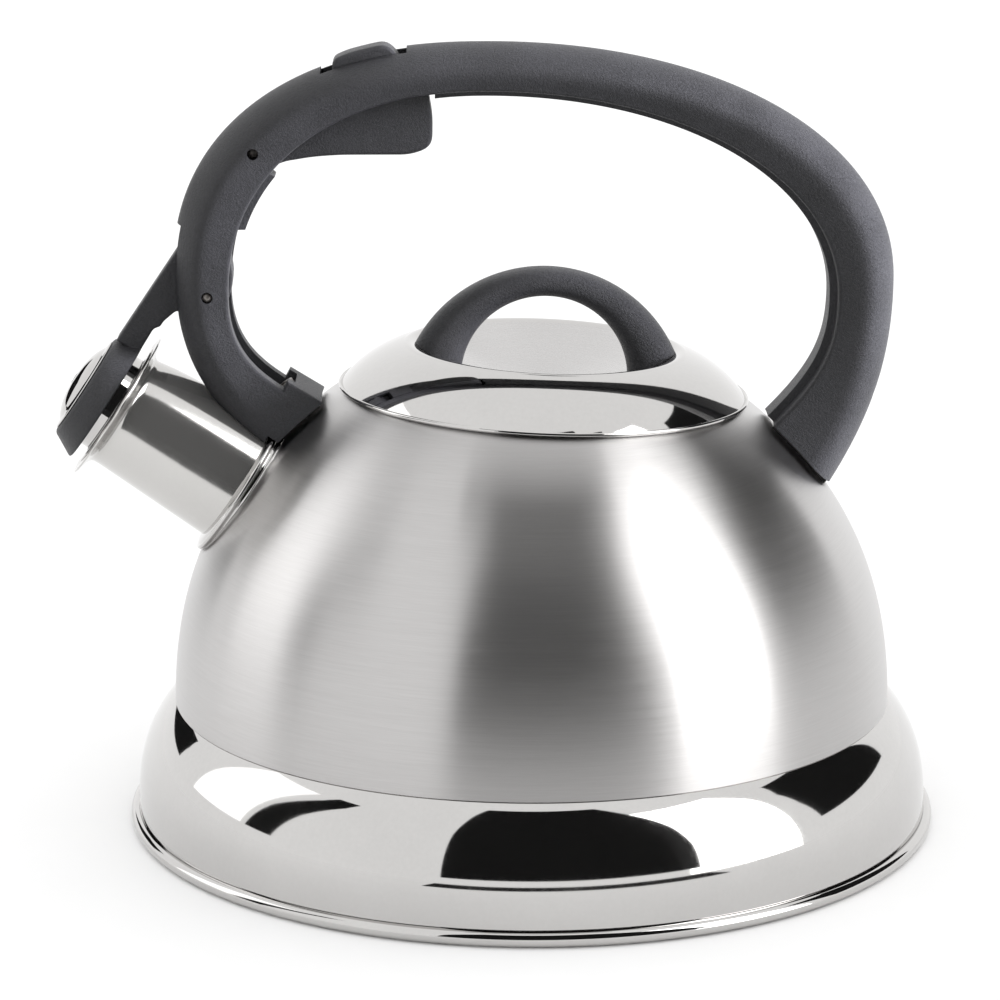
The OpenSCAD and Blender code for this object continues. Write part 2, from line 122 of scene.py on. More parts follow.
def dome_point(z, out):
    """Point (r, z) that stands off the dome's outside by out, square to it."""
    slope = (dome_r(z + 0.01) - dome_r(z - 0.01)) / 0.02
    n = math.hypot(1, slope)
    return (dome_r(z) + out / n, z - out * slope / n)


def dome_line(z0, z1, out, steps=90):
    return [dome_point(z0 + (z1 - z0) * math.sin(math.pi / 2 * i / steps), out) for i in range(steps + 1)]


def dish_z(r):
    return DISH_FLOOR + DISH_BALL - math.sqrt(DISH_BALL**2 - r * r)


def ring_arc():
    """Centre of the arc that the lid's polished ring follows, as (r, height above the rim)."""
    chord = (RIM_R - CREST_R, CREST_H)
    half = math.hypot(*chord) / 2
    back = math.sqrt(RING_R**2 - half**2) / (2 * half)
    return (RIM_R + CREST_R) / 2 - chord[1] * back, CREST_H / 2 - chord[0] * back


RING_C = ring_arc()


def ring_z(r, out=0):
    """Height of the lid's polished ring at radius r."""
    return RIM_Z + RING_C[1] + math.sqrt((RING_R + out) ** 2 - (r - RING_C[0]) ** 2)


# ------------------------------------------------------------------ mesh tools


def make_object(name, verts, faces, uvs=None, place=HERE, sharp=32):
    mesh = bpy.data.meshes.new(name)
    mesh.from_pydata([(place @ Vector(v)) * MM for v in verts], [], faces)
    if uvs:
        layer = mesh.uv_layers.new(name="UVMap")
        for poly in mesh.polygons:
            for loop, uv in zip(poly.loop_indices, uvs[poly.index]):
                layer.data[loop].uv = uv
    mesh.validate()
    mesh.update()
    mesh.shade_smooth()
    if sharp:
        mesh.set_sharp_from_angle(angle=math.radians(sharp))
    obj = bpy.data.objects.new(name, mesh)
    bpy.context.scene.collection.objects.link(obj)
    return obj


def lathe(name, profile, place=HERE, segments=256, sharp=32, radius=None):
    """Turns a closed outline of (r, z) points about Z. radius(angle, r, z) may bend it out of round."""
    verts, faces, uvs = [], [], []
    rows = []
    for r, z in profile:
        if r < 1e-6:
            rows.append([len(verts)])
            verts.append((0, 0, z))
            continue
        row = []
        for k in range(segments):
            a = 2 * math.pi * k / segments
            rr = radius(a, r, z) if radius else r
            row.append(len(verts))
            verts.append((rr * math.cos(a), rr * math.sin(a), z))
        rows.append(row)
    length = [0.0]
    for p, q in zip(profile, profile[1:] + profile[:1]):
        length.append(length[-1] + math.dist(p, q) * MM)
    count = len(profile)
    for i in range(count):
        a, b = rows[i], rows[(i + 1) % count]
        v0, v1 = length[i], length[i + 1]
        if len(a) == 1 and len(b) == 1:
            continue
        for k in range(segments):
            k1 = (k + 1) % segments
            u0, u1 = k / segments, (k + 1) / segments
            if len(a) == 1:
                faces.append((a[0], b[k1], b[k]))
                uvs.append(((u0, v0), (u1, v1), (u0, v1)))
            elif len(b) == 1:
                faces.append((a[k], a[k1], b[0]))
                uvs.append(((u0, v0), (u1, v0), (u0, v1)))
            else:
                faces.append((a[k], a[k1], b[k1], b[k]))
                uvs.append(((u0, v0), (u1, v0), (u1, v1), (u0, v1)))
    obj = make_object(name, verts, faces, uvs, place, sharp)
    outward(obj)
    return obj


def outward(obj):
    """Turns a closed mesh's faces outwards."""
    work = bmesh.new()
    work.from_mesh(obj.data)
    bmesh.ops.recalc_face_normals(work, faces=work.faces)
    if work.calc_volume(signed=True) < 0:
        bmesh.ops.reverse_faces(work, faces=work.faces)
    work.to_mesh(obj.data)
    work.free()


def arc(cx, cz, r, a0, a1, steps):
    """Points on a circle from angle a0 to a1, in degrees."""
    out = []
    for i in range(steps + 1):
        a = math.radians(a0 + (a1 - a0) * i / steps)
        out.append((cx + r * math.cos(a), cz + r * math.sin(a)))
    return out


def round_corners(points, steps=5):
    """Outline of (x, z, corner radius) points with each corner turned into a smooth curve."""
    out = []
    n = len(points)
    for i, (x, z, r) in enumerate(points):
        p, a, b = Vector((x, z)), Vector(points[i - 1][:2]), Vector(points[(i + 1) % n][:2])
        if r <= 0:
            out.append((x, z))
            continue
        da, db = (a - p), (b - p)
        s = min(r, da.length * 0.48, db.length * 0.48)
        pa, pb = p + da.normalized() * s, p + db.normalized() * s
        for k in range(steps + 1):
            t = k / steps
            q = pa * (1 - t) ** 2 + p * 2 * t * (1 - t) + pb * t * t
            out.append((q.x, q.y))
    return out


def inset(points, d):
    """Outline moved inwards by d."""
    n = len(points)
    area = sum(points[i][0] * points[(i + 1) % n][1] - points[(i + 1) % n][0] * points[i][1] for i in range(n))
    turn = 1 if area > 0 else -1
    out = []
    for i in range(n):
        p = Vector(points[i])
        e0 = (p - Vector(points[i - 1])).normalized()
        e1 = (Vector(points[(i + 1) % n]) - p).normalized()
        n0, n1 = Vector((-e0.y, e0.x)) * turn, Vector((-e1.y, e1.x)) * turn
        mid = n0 + n1
        if mid.length < 1e-6:
            mid = n0
        mid.normalize()
        q = p + mid * d / max(0.5, mid.dot(n0))
        out.append((q.x, q.y))
    return out


def slab(name, outline, half, edge, steps=4, place=HERE, sharp=40):
    """A flat piece in the XZ plane, |y| <= half, with rounded rims of radius edge."""
    levels = []
    for i in range(steps, -1, -1):
        a = math.pi / 2 * i / steps
        levels.append((-half + edge * (1 - math.sin(a)), edge * (1 - math.cos(a))))
    rings = [(y, d) for y, d in levels] + [(-y, d) for y, d in reversed(levels)]
    verts, faces = [], []
    n = len(outline)
    for y, d in rings:
        pts = inset(outline, d) if d > 1e-9 else outline
        verts += [(x, y, z) for x, z in pts]
    for j in range(len(rings) - 1):
        for k in range(n):
            k1 = (k + 1) % n
            faces.append((j * n + k, j * n + k1, (j + 1) * n + k1, (j + 1) * n + k))
    faces.append(tuple(range(n)))
    faces.append(tuple(range((len(rings) - 1) * n, len(rings) * n)))
    obj = make_object(name, verts, faces, None, place, sharp)
    outward(obj)
    return obj


def loft(name, rings, place=HERE, sharp=35):
    """Skins rings of equal length, with a flat cap on each end."""
    n = len(rings[0])
    verts = [v for ring in rings for v in ring]
    faces = []
    for j in range(len(rings) - 1):
        for k in range(n):
            k1 = (k + 1) % n
            faces.append((j * n + k, j * n + k1, (j + 1) * n + k1, (j + 1) * n + k))
    faces.append(tuple(range(n)))
    faces.append(tuple(range((len(rings) - 1) * n, len(rings) * n)))
    obj = make_object(name, verts, faces, None, place, sharp)
    outward(obj)
    return obj


def carve(obj, cutters, sharp=35, operation="DIFFERENCE", solver="EXACT"):
    """Cuts each cutter out of obj, then deletes the cutters."""
    for cutter in cutters:
        mod = obj.modifiers.new("cut", "BOOLEAN")
        mod.operation = operation
        mod.solver = solver
        mod.object = cutter
        seen = obj.evaluated_get(bpy.context.evaluated_depsgraph_get())
        mesh = bpy.data.meshes.new_from_object(seen)
        obj.modifiers.clear()
        obj.data = mesh
        if not mesh.vertices:
            raise RuntimeError(f"cutting {obj.name} with {cutter.name} left nothing")
        bpy.data.objects.remove(cutter)
    obj.data.shade_smooth()
    obj.data.set_sharp_from_angle(angle=math.radians(sharp))
    return obj


def join(name, objs):
    """Puts several meshes into one object."""
    verts, faces, base = [], [], 0
    mesh = bpy.data.meshes.new(name)
    for o in objs:
        verts += [tuple(v.co) for v in o.data.vertices]
        faces += [tuple(base + i for i in p.vertices) for p in o.data.polygons]
        base = len(verts)
        bpy.data.objects.remove(o)
    mesh.from_pydata(verts, [], faces)
    mesh.update()
    mesh.shade_smooth()
    mesh.set_sharp_from_angle(angle=math.radians(38))
    obj = bpy.data.objects.new(name, mesh)
    bpy.context.scene.collection.objects.link(obj)
    return obj


def rod(name, at, r, y0, y1, dome=0.0, segments=32):
    """A pin along Y at (x, z), with slightly domed ends."""
    profile = [(0, y0), (r * 0.55, y0 + dome * 0.25), (r - 0.12, y0 + dome), (r, y0 + dome + 0.12)]
    profile += [(r, y1 - dome - 0.12), (r - 0.12, y1 - dome), (r * 0.55, y1 - dome * 0.25), (0, y1)]
    turn = Matrix.Translation((at[0], 0, at[1])) @ Matrix.Rotation(math.radians(-90), 4, "X")
    return lathe(name, profile, turn, segments)


# ------------------------------------------------------------------ materials


class Nodes:
    """Short names for building a node material."""

    def __init__(self, name):
        self.mat = bpy.data.materials.new(name)
        self.mat.use_nodes = True
        self.tree = self.mat.node_tree
        self.bsdf = self.tree.nodes["Principled BSDF"]

    def add(self, kind, **values):
        node = self.tree.nodes.new(kind)
        for key, value in values.items():
            if hasattr(node, key):
                setattr(node, key, value)
            else:
                node.inputs[key.replace("_", " ")].default_value = value
        return node

    def link(self, a, b):
        self.tree.links.new(a, b)

    def math(self, op, a, b=None):
        node = self.add("ShaderNodeMath", operation=op)
        for i, v in enumerate((a, b)):
            if v is None:
                continue
            if isinstance(v, (int, float)):
                node.inputs[i].default_value = v
            else:
                self.link(v, node.inputs[i])
        return node.outputs[0]

    def noise(self, vector, scale, detail=2.0, rough=0.5):
        node = self.add("ShaderNodeTexNoise")
        node.inputs["Scale"].default_value = scale
        node.inputs["Detail"].default_value = detail
        node.inputs["Roughness"].default_value = rough
        self.link(vector, node.inputs["Vector"])
        return node.outputs["Fac"]

    def ramp(self, value, stops):
        node = self.add("ShaderNodeValToRGB")
        el = node.color_ramp.elements
        while len(el) < len(stops):
            el.new(0.5)
        for e, (pos, col) in zip(el, stops):
            e.position = pos
            e.color = (*col, 1) if len(col) == 3 else (col[0],) * 3 + (1,)
        self.link(value, node.inputs["Fac"])
        return node.outputs["Color"]

    def span(self, value, low, high, out_low, out_high):
        node = self.add("ShaderNodeMapRange")
        for i, v in enumerate((low, high, out_low, out_high)):
            node.inputs[i + 1].default_value = v
        self.link(value, node.inputs[0])
        return node.outputs[0]

    def bump(self, height, strength, distance, normal=None):
        node = self.add("ShaderNodeBump")
        node.inputs["Strength"].default_value = strength
        node.inputs["Distance"].default_value = distance
        self.link(height, node.inputs["Height"])
        if normal:
            self.link(normal, node.inputs["Normal"])
        return node.outputs["Normal"]

    def object_coords(self):
        return self.add("ShaderNodeTexCoord").outputs["Object"]

    def turned_coords(self, around, along):
        """Coordinates that run round a turned piece and along its outline, from its UV map."""
        uv = self.add("ShaderNodeTexCoord").outputs["UV"]
        parts = self.add("ShaderNodeSeparateXYZ")
        self.link(uv, parts.inputs[0])
        angle = self.math("MULTIPLY", parts.outputs[0], 2 * math.pi)
        both = self.add("ShaderNodeCombineXYZ")
        self.link(self.math("MULTIPLY", self.math("COSINE", angle), around), both.inputs[0])
        self.link(self.math("MULTIPLY", self.math("SINE", angle), around), both.inputs[1])
        self.link(self.math("MULTIPLY", parts.outputs[1], along), both.inputs[2])
        return both.outputs[0]


def brushed_steel(name, around, along, low, high, rough=(0.24, 0.36), aniso=0.75, grain=0.12, turn=0.25):
    """Stainless steel brushed round the axis: fine lines, and highlights drawn out across them."""
    m = Nodes(name)
    fine = m.noise(m.turned_coords(around, along), 1.0, 4.0, 0.65)
    broad = m.noise(m.turned_coords(around * 0.3, along * 0.3), 1.0, 3.0, 0.6)
    cloud = m.noise(m.object_coords(), 16.0, 2.0, 0.5)
    lines = m.math("ADD", m.math("MULTIPLY", fine, 0.6), m.math("MULTIPLY", broad, 0.4))
    m.link(m.ramp(lines, [(0.3, low), (0.7, high)]), m.bsdf.inputs["Base Color"])
    mixed = m.math("ADD", m.math("MULTIPLY", lines, 0.7), m.math("MULTIPLY", cloud, 0.3))
    m.link(m.span(mixed, 0.35, 0.65, rough[0], rough[1]), m.bsdf.inputs["Roughness"])
    m.link(m.bump(lines, grain, 0.00001), m.bsdf.inputs["Normal"])
    m.bsdf.inputs["Metallic"].default_value = 1
    m.bsdf.inputs["Anisotropic"].default_value = aniso
    m.bsdf.inputs["Anisotropic Rotation"].default_value = turn
    tangent = m.add("ShaderNodeTangent", direction_type="RADIAL", axis="Z")
    m.link(tangent.outputs[0], m.bsdf.inputs["Tangent"])
    return m.mat


def polished_steel(name, tint=(0.57, 0.56, 0.55), rough=(0.025, 0.07), ripple=0.12, metal=1.0):
    """Mirror-polished stainless steel with faint haze, rubbing marks and pressing ripples."""
    m = Nodes(name)
    coords = m.object_coords()
    haze = m.noise(coords, 22.0, 4.0, 0.6)
    rubbed = m.noise(coords, 900.0, 2.0, 0.5)
    both = m.math("ADD", m.math("MULTIPLY", haze, 0.75), m.math("MULTIPLY", rubbed, 0.25))
    dark = tuple(c * 0.93 for c in tint)
    m.link(m.ramp(both, [(0.35, dark), (0.65, tint)]), m.bsdf.inputs["Base Color"])
    m.link(m.span(both, 0.35, 0.65, rough[0], rough[1]), m.bsdf.inputs["Roughness"])
    waves = m.noise(coords, 34.0, 1.0, 0.4)
    m.link(m.bump(waves, ripple, 0.0003), m.bsdf.inputs["Normal"])
    m.bsdf.inputs["Metallic"].default_value = metal
    return m.mat


def moulded_plastic(name, low, high, rough=(0.36, 0.52), grain=1.0, edge=0.35):
    """Fine-grained satin plastic, its sharp edges slightly softened so that they catch the light."""
    m = Nodes(name)
    coords = m.object_coords()
    speck = m.noise(coords, 1700.0, 4.0, 0.75)
    patch = m.noise(coords, 60.0, 3.0, 0.5)
    tone = m.math("ADD", m.math("MULTIPLY", speck, 0.7), m.math("MULTIPLY", patch, 0.3))
    m.link(m.ramp(tone, [(0.34, low), (0.66, high)]), m.bsdf.inputs["Base Color"])
    m.link(m.span(tone, 0.3, 0.7, rough[0], rough[1]), m.bsdf.inputs["Roughness"])
    soft = m.add("ShaderNodeBevel", samples=4)
    soft.inputs["Radius"].default_value = edge * MM
    m.link(m.bump(speck, grain, 0.00035, soft.outputs[0]), m.bsdf.inputs["Normal"])
    m.bsdf.inputs["Specular IOR Level"].default_value = 0.42
    return m.mat


def plated_steel(name, low, high):
    """Plain plated hardware with grime in patches."""
    m = Nodes(name)
    coords = m.object_coords()
    grime = m.noise(coords, 700.0, 4.0, 0.6)
    m.link(m.ramp(grime, [(0.3, low), (0.7, high)]), m.bsdf.inputs["Base Color"])
    m.link(m.span(grime, 0.3, 0.7, 0.25, 0.5), m.bsdf.inputs["Roughness"])
    m.link(m.bump(grime, 0.3, 0.00005), m.bsdf.inputs["Normal"])
    m.bsdf.inputs["Metallic"].default_value = 0.9
    return m.mat


def seal_rubber(name):
    m = Nodes(name)
    coords = m.object_coords()
    dust = m.noise(coords, 1200.0, 3.0, 0.6)
    m.link(m.ramp(dust, [(0.3, (0.02, 0.02, 0.02)), (0.7, (0.045, 0.045, 0.045))]), m.bsdf.inputs["Base Color"])
    m.link(m.span(dust, 0.3, 0.7, 0.6, 0.8), m.bsdf.inputs["Roughness"])
    m.link(m.bump(dust, 0.3, 0.0001), m.bsdf.inputs["Normal"])
    return m.mat


BODY_STEEL = brushed_steel("brushed_body", 9.0, 4200.0, (0.49, 0.48, 0.475), (0.56, 0.55, 0.545), (0.30, 0.36), 0.93)
DISH_STEEL = brushed_steel(
    "brushed_dish", 3.0, 4200.0, (0.53, 0.52, 0.515), (0.60, 0.59, 0.585), (0.22, 0.34), grain=0.04
)
MIRROR = polished_steel("polished_steel")
DRAWN = polished_steel("drawn_steel", (0.60, 0.59, 0.575), (0.08, 0.15), 0.05, 0.87)
PLASTIC = moulded_plastic("charcoal_plastic", (0.007, 0.007, 0.0085), (0.024, 0.024, 0.028))
# the dark brownish base colour is partly the hardware's own tone and partly painted shade, darkening the pin ends down
# in their holes
PLATED = plated_steel("plated_hardware", (0.15, 0.13, 0.12), (0.34, 0.32, 0.30))
RUBBER = seal_rubber("seal_rubber")


def dress(obj, material, slot, body, *nodes):
    """Gives a new piece its material, makes it ride, and hides the CAD nodes it stands for; slot is not used."""
    obj.data.materials.clear()
    obj.data.materials.append(material)
    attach(obj, body)
    if nodes:
        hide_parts(*nodes)
    return obj


# ------------------------------------------------------------------ body


def make_dome():
    top = dome_z(MOUTH_R)
    inner_top = dome_z(MOUTH_R + 0.9)
    neck = MOUTH_R - WALL
    profile = dome_line(FLARE_TOP, top, 0)
    profile += [(neck + 0.45, top + 0.22), (neck + 0.12, top + 0.02), (neck, top - 0.5), (neck, top - 8)]
    profile += [(MOUTH_R, top - 8), (MOUTH_R, inner_top - 1.1)]
    profile += dome_line(FLARE_TOP, inner_top, -WALL, 40)[::-1]
    dome = lathe("dome", profile, segments=288)
    reach = 44 + 20
    hole = lathe("hole", [(0, -reach), (17.9, -reach), (15.5, -10), (0, -10)], ON_SPOUT, 96)
    carve(dome, [hole])
    return dress(dome, BODY_STEEL, "brushed_body", "kettle", "dome_shell")


def make_flare():
    def r_at(z):
        return FLARE_IN + (SKIRT_R - FLARE_IN) * (1 - ((z - SKIRT_Z) / (FLARE_TOP + 0.4 - SKIRT_Z)) ** 2.5) ** 0.8

    steps = 60
    heights = [SKIRT_Z + (FLARE_TOP - SKIRT_Z) * math.sin(math.pi / 2 * i / steps) for i in range(steps + 1)]
    outer = [(r_at(z), z) for z in heights]
    inner = [(r_at(z) - WALL, z - WALL * i / steps) for i, z in enumerate(heights)]
    lap = DOME_R - WALL - 0.1
    neck = [(lap, FLARE_TOP), (lap, FLARE_TOP + 5), (lap - 0.3, FLARE_TOP + 6), (lap - WALL, FLARE_TOP + 6)]
    neck += [(lap - WALL, FLARE_TOP - WALL)]
    flare = lathe("flare", outer + neck + inner[::-1], segments=288, sharp=28)
    return dress(flare, MIRROR, "polished_steel", "kettle", "base_flare")


def make_pan():
    bead = arc(BEAD_RING, BEAD_Z, BEAD_R, -158, 150, 36)
    under = [(0, 0.02), (60, 0.0), (94.5, 0.0), (96.5, 0.15), (98.5, 0.6), (100.4, 1.15)]
    upper = [(99.4, 2.35), (96.6, 2.0), (95.6, 1.5), (0, 1.42)]
    pan = lathe("pan", under + bead + upper, segments=288)
    return dress(pan, MIRROR, "polished_steel", "kettle", "base_pan")


def make_spout():
    """Tube with a curled lip, round at the mouth and swelling along its upper side towards the body."""
    def swell(a, r, z):
        s = max(0.0, -z - 2.0)
        up = ((1 + math.cos(a)) / 2) ** 2
        return r + up * 1.6 * (1 - math.exp(-s / 9)) * min(1, s / 2)

    def r_at(t):
        return 15.1 + (-t - 1.75) * 0.03

    outer = [(r_at(t), t) for t in [-44 + 40 * i / 30 for i in range(31)]]
    flare = [(15.2, -3.2), (15.25, -2.5), (15.6, -1.85), (16.4, -1.3), (17.6, -0.85), (18.9, -0.5), (19.9, -0.28)]
    curl = [(20.28, -0.12), (20.35, 0.05), (20.2, 0.2), (19.8, 0.14)]
    inside = [(18.8, -0.02), (17.6, -0.32), (16.5, -0.75), (15.4, -1.4), (14.75, -2.2), (14.45, -3.4)]
    bore = [(r_at(t) - 0.75, t) for t in [-4 - 40 * i / 30 for i in range(31)]]
    tube = lathe("spout_pipe", outer + flare + curl + inside + bore, ON_SPOUT, 160, radius=swell)
    return dress(tube, DRAWN, "polished_steel", "kettle", "spout_tube")


def make_collar():
    """Pressed ring at the spout's root, with two rolled lips and a groove, cut to the dome."""
    profile = [(15.6, -45.5), (18.8, -45.5), (18.8, -40.6)]
    profile += [(x, z) for z, x in arc(-39.5, 19.3, 0.62, 200, -20, 10)]
    profile += [(18.95, -38.55), (18.95, -38.2)]
    profile += [(x, z) for z, x in arc(-37.3, 19.3, 0.62, 200, -20, 10)]
    profile += [(18.6, -36.4), (17.4, -36.1), (15.6, -36.0)]
    collar = lathe("root_ring", profile, ON_SPOUT, 160)
    core = lathe("core", [(0, 30)] + dome_line(30, dome_z(MOUTH_R), 0.03, 60) + [(0, dome_z(MOUTH_R))], segments=160)
    carve(collar, [core])
    return dress(collar, MIRROR, "polished_steel", "kettle", "spout_collar")


make_dome()
make_flare()
make_pan()
make_spout()
make_collar()

# ------------------------------------------------------------------ handle


def super_quarter(cx, cz, a, b, n, a0, a1, steps):
    """Points on a superellipse of power n, from angle a0 to a1 in degrees."""
    out = []
    for i in range(steps + 1):
        t = math.radians(a0 + (a1 - a0) * i / steps)
        c, s = math.cos(t), math.sin(t)
        x = cx + a * math.copysign(abs(c) ** (2 / n), c)
        out.append((x, cz + b * abs(s) ** (2 / n)))
    return out


def bezier(p, steps):
    """Points on a cubic curve with four control points, without its first end."""
    out = []
    for i in range(1, steps + 1):
        t = i / steps
        w = ((1 - t) ** 3, 3 * t * (1 - t) ** 2, 3 * t * t * (1 - t), t**3)
        out.append(tuple(sum(wi * q[k] for wi, q in zip(w, p)) for k in (0, 1)))
    return out


def handle_lines():
    """Matching points on the handle's outer and inner edges, from the front foot to the rear foot."""
    leg, bow = 36, 54
    outer = bezier([(PEAK_X - OUTER_FRONT, OUTER_Z), (-91.4, 120), (-82.4, 109.5), (-66, 91.5)], leg)[::-1]
    outer += super_quarter(PEAK_X, OUTER_Z, OUTER_FRONT, OUTER_RISE, 2.3, 180, 90.01, bow)
    outer += super_quarter(PEAK_X, OUTER_Z, OUTER_REAR, OUTER_RISE, 2.1, 89.99, 0, bow)[1:]
    outer += bezier([(PEAK_X + OUTER_REAR, OUTER_Z), (92.2, 122), (88.2, 106), (74.5, 84.5)], leg)
    inner = bezier([(PEAK_X - INNER_FRONT, INNER_Z), (-75.2, 124), (-68, 118), (-51, 110)], leg)[::-1]
    inner += super_quarter(PEAK_X, INNER_Z, INNER_FRONT, INNER_RISE, 2.2, 180, 90.01, bow)
    inner += super_quarter(PEAK_X, INNER_Z, INNER_REAR, INNER_RISE, 2.05, 89.99, 0, bow)[1:]
    inner += bezier([(PEAK_X + INNER_REAR, INNER_Z), (75.5, 124), (71, 117), (58, 104)], leg)
    return outer, inner


def smooth01(t):
    """Eases from 0 to 1 as t does."""
    t = min(1, max(0, t))
    return t * t * (3 - 2 * t)


def handle_section(width, half=12.0):
    """Section as (w, y), w running from the inner edge to the outer edge: a broad rounded crown,
    front and back faces that lean in towards the inner edge, and a low ridge along that edge."""
    crown, power, ridge, fillet, lean, lean_from, blend = 9.5, 1.85, 1.8, 1.0, 0.34, 6.0, 1.6
    depth = width - ridge - fillet
    lean = min(lean, 2.0 / (depth - lean_from))
    right = []
    steps = 24
    for i in range(steps + 1):
        d = depth * (1 - math.cos(math.pi / 2 * i / steps))
        round_y = half * (1 - max(0.0, 1 - d / crown) ** power) ** (1 / power)
        flat_y = half - lean * max(0.0, d - lean_from)
        near = max(0.0, blend - abs(round_y - flat_y)) / blend
        right.append((width / 2 - d, min(round_y, flat_y) - near * near * blend / 4 * smooth01(d / 3)))
    low = -width / 2 + ridge
    edge = right[-1][1]
    for i in range(1, 6):
        a = math.pi / 2 * i / 5
        right.append((low + fillet * (1 - math.sin(a)), edge - fillet * (1 - math.cos(a))))
    top = right[-1][1]
    for y in (top * 0.85, 5.6, 5.25, 5.0, 4.75, 4.5, 4.2, 3.6, 2.6, 1.4, 0.5):
        right.append((-width / 2 + ridge * smooth01((y - 4.1) / 1.05), y))
    left = [(w, -y) for w, y in reversed(right)]
    return right + [p for p in left if abs(p[1]) > 1e-6]


def make_handle():
    outer, inner = handle_lines()
    rings = []
    for (ox, oz), (ix, iz) in zip(outer, inner):
        o, i = Vector((ox, oz)), Vector((ix, iz))
        mid, across = (o + i) / 2, (o - i)
        width = across.length
        across.normalize()
        rings.append([(mid.x + across.x * w, y, mid.y + across.y * w) for w, y in handle_section(width)])
    grip = loft("grip", rings)
    block = [(-62.2, 116.9), (-53.6, 111.6), (-52.6, 107.5), (-57, 102), (-66, 110)]
    carve(grip, [slab("foot_block", block, 9.95, 0.9)], operation="UNION")
    core = [(0, 40)] + dome_line(40, dome_z(MOUTH_R), 1.15, 60) + [(0, dome_z(MOUTH_R) + 1.15)]
    edge_a, edge_b = [], []
    for o, i in zip(outer, inner):
        mid = ((o[0] + i[0]) / 2, (o[1] + i[1]) / 2)
        if mid[0] < -24.6 and mid[1] > 119:
            share = 2.6 / math.dist(o, i)
            edge_a.append((o[0] + (i[0] - o[0]) * share, o[1] + (i[1] - o[1]) * share))
            edge_b.append((i[0] + (o[0] - i[0]) * share, i[1] + (o[1] - i[1]) * share))
    channel = slab("channel", edge_a + edge_b[::-1], SLOT_HALF, 0.01, 1)
    cuts = [
        lathe("core", core, segments=160),
        lathe("tube_cut", [(0, -60), (19.0, -60), (17.2, -20), (15.6, -2), (0, -2)], ON_SPOUT, 96),
        lathe("ring_cut", [(0, -60), (20.3, -60), (20.3, -35.6), (0, -35.6)], ON_SPOUT, 96),
        channel,
    ]
    # below the lever the slot goes on as a shallow groove down the outer edge
    leg = outer[8:29]
    groove = [(x - 2, z - 1) for x, z in leg] + [(x + 1.25, z + 0.5) for x, z in reversed(leg)]
    cuts.append(slab("groove", groove, SLOT_HALF + 0.15, 0.01, 1))
    openings = [
        [(-53.2, 185), (-29.8, 185), (-29.8, 194.5), (-31.6, 198), (-31.6, 215), (-53.2, 215)],
        [(-61.5, 166), (-24.6, 179), (-24.6, 191), (-60, 188), (-70, 176), (-68, 170.5)],
        [(-96, 124.5), (-86, 127.5), (-82, 155.5), (-96, 157)],
        [(-80, 122), (-68.2, 115), (-65.6, 111), (-60.5, 114.7), (-59, 130), (-70, 154.8), (-79, 155.4)],
    ]
    # each opening is a hair wider than the one before, so that no two cuts share a face
    for k, points in enumerate(openings):
        cuts.append(slab(f"opening{k}", points, SLOT_HALF + 0.03 * (k + 1), 0.01, 1))
    seat = Matrix.Translation((-58.5, 0, 106.9)) @ Matrix.Rotation(math.radians(-36.2), 4, "Y")
    cuts.append(lathe("seat", [(0, 7.2), (3.0, 7.2), (3.0, 20), (0, 20)], seat, 48))
    cuts.append(lathe("boss", [(0, -4), (3.1, -4), (3.1, 4.75), (1.6, 4.75), (1.6, 8), (0, 8)], seat, 48))
    rear = Matrix.Translation((78.3, 0, 116.9)) @ Matrix.Rotation(math.radians(27.8 + 90), 4, "Y")
    cuts.append(lathe("counterbore", [(0, 4.4), (3.0, 4.4), (3.0, 20), (0, 20)], rear, 48))
    for name, at in (("hole_a", TRIGGER_PIVOT), ("hole_b", LEVER_PIVOT)):
        cuts.append(rod(name, at, PIN_HOLE_R, -THROUGH, THROUGH))
    carve(grip, cuts, solver="MANIFOLD")
    return dress(grip, PLASTIC, "charcoal_plastic", "kettle", "handle")


make_handle()
dress(rod("upper_pin", TRIGGER_PIVOT, PIN_R, -9.0, 9.0, 0.3), PLATED, "plated_hardware", "kettle", "trigger_pin")
dress(rod("lower_pin", LEVER_PIVOT, PIN_R, -10.4, 10.4, 0.35), PLATED, "plated_hardware", "kettle", "lever_pin")

# ------------------------------------------------------------------ trigger, lever and whistle cap


def make_trigger():
    paddle = round_corners([
        (-75.2, 176, 0), (-74.2, 178.8, 1.5), (-70.1, 180.4, 2), (-66.4, 179, 1.5), (-64, 180, 2), (-56, 186, 3),
        (-50.2, 190, 1), (-50.2, 197.9, 1.6), (-46.5, 199.5, 1.5), (-42, 200.7, 2), (-36.6, 201.85, 2.4),
        (-33.3, 198.5, 1.5), (-31.5, 194, 2), (-26.4, 190.5, 1), (-25.1, 183, 3),
        (-25.3, 176, 5.5), (-30.6, 173.9, 5), (-38, 173.9, 2), (-48.9, 173.9, 3), (-55.5, 173.4, 2), (-62.9, 172.2, 2),
        (-66.3, 170.4, 2), (-69, 168, 1.5), (-72.6, 165.6, 2), (-77.8, 158, 3), (-80.3, 151.5, 2), (-80.5, 147, 1.2),
        (-81.7, 145.8, 0.8), (-83.3, 146.2, 0.8), (-84.9, 149.6, 1.5), (-81.8, 160, 3),
    ])
    body = slab("squeeze_lever", paddle, BLADE_HALF, 1.0, 5)
    carve(body, [rod("bore", TRIGGER_PIVOT, BORE_R, -THROUGH, THROUGH)])
    return dress(body, PLASTIC, "charcoal_plastic", "trigger", "trigger")


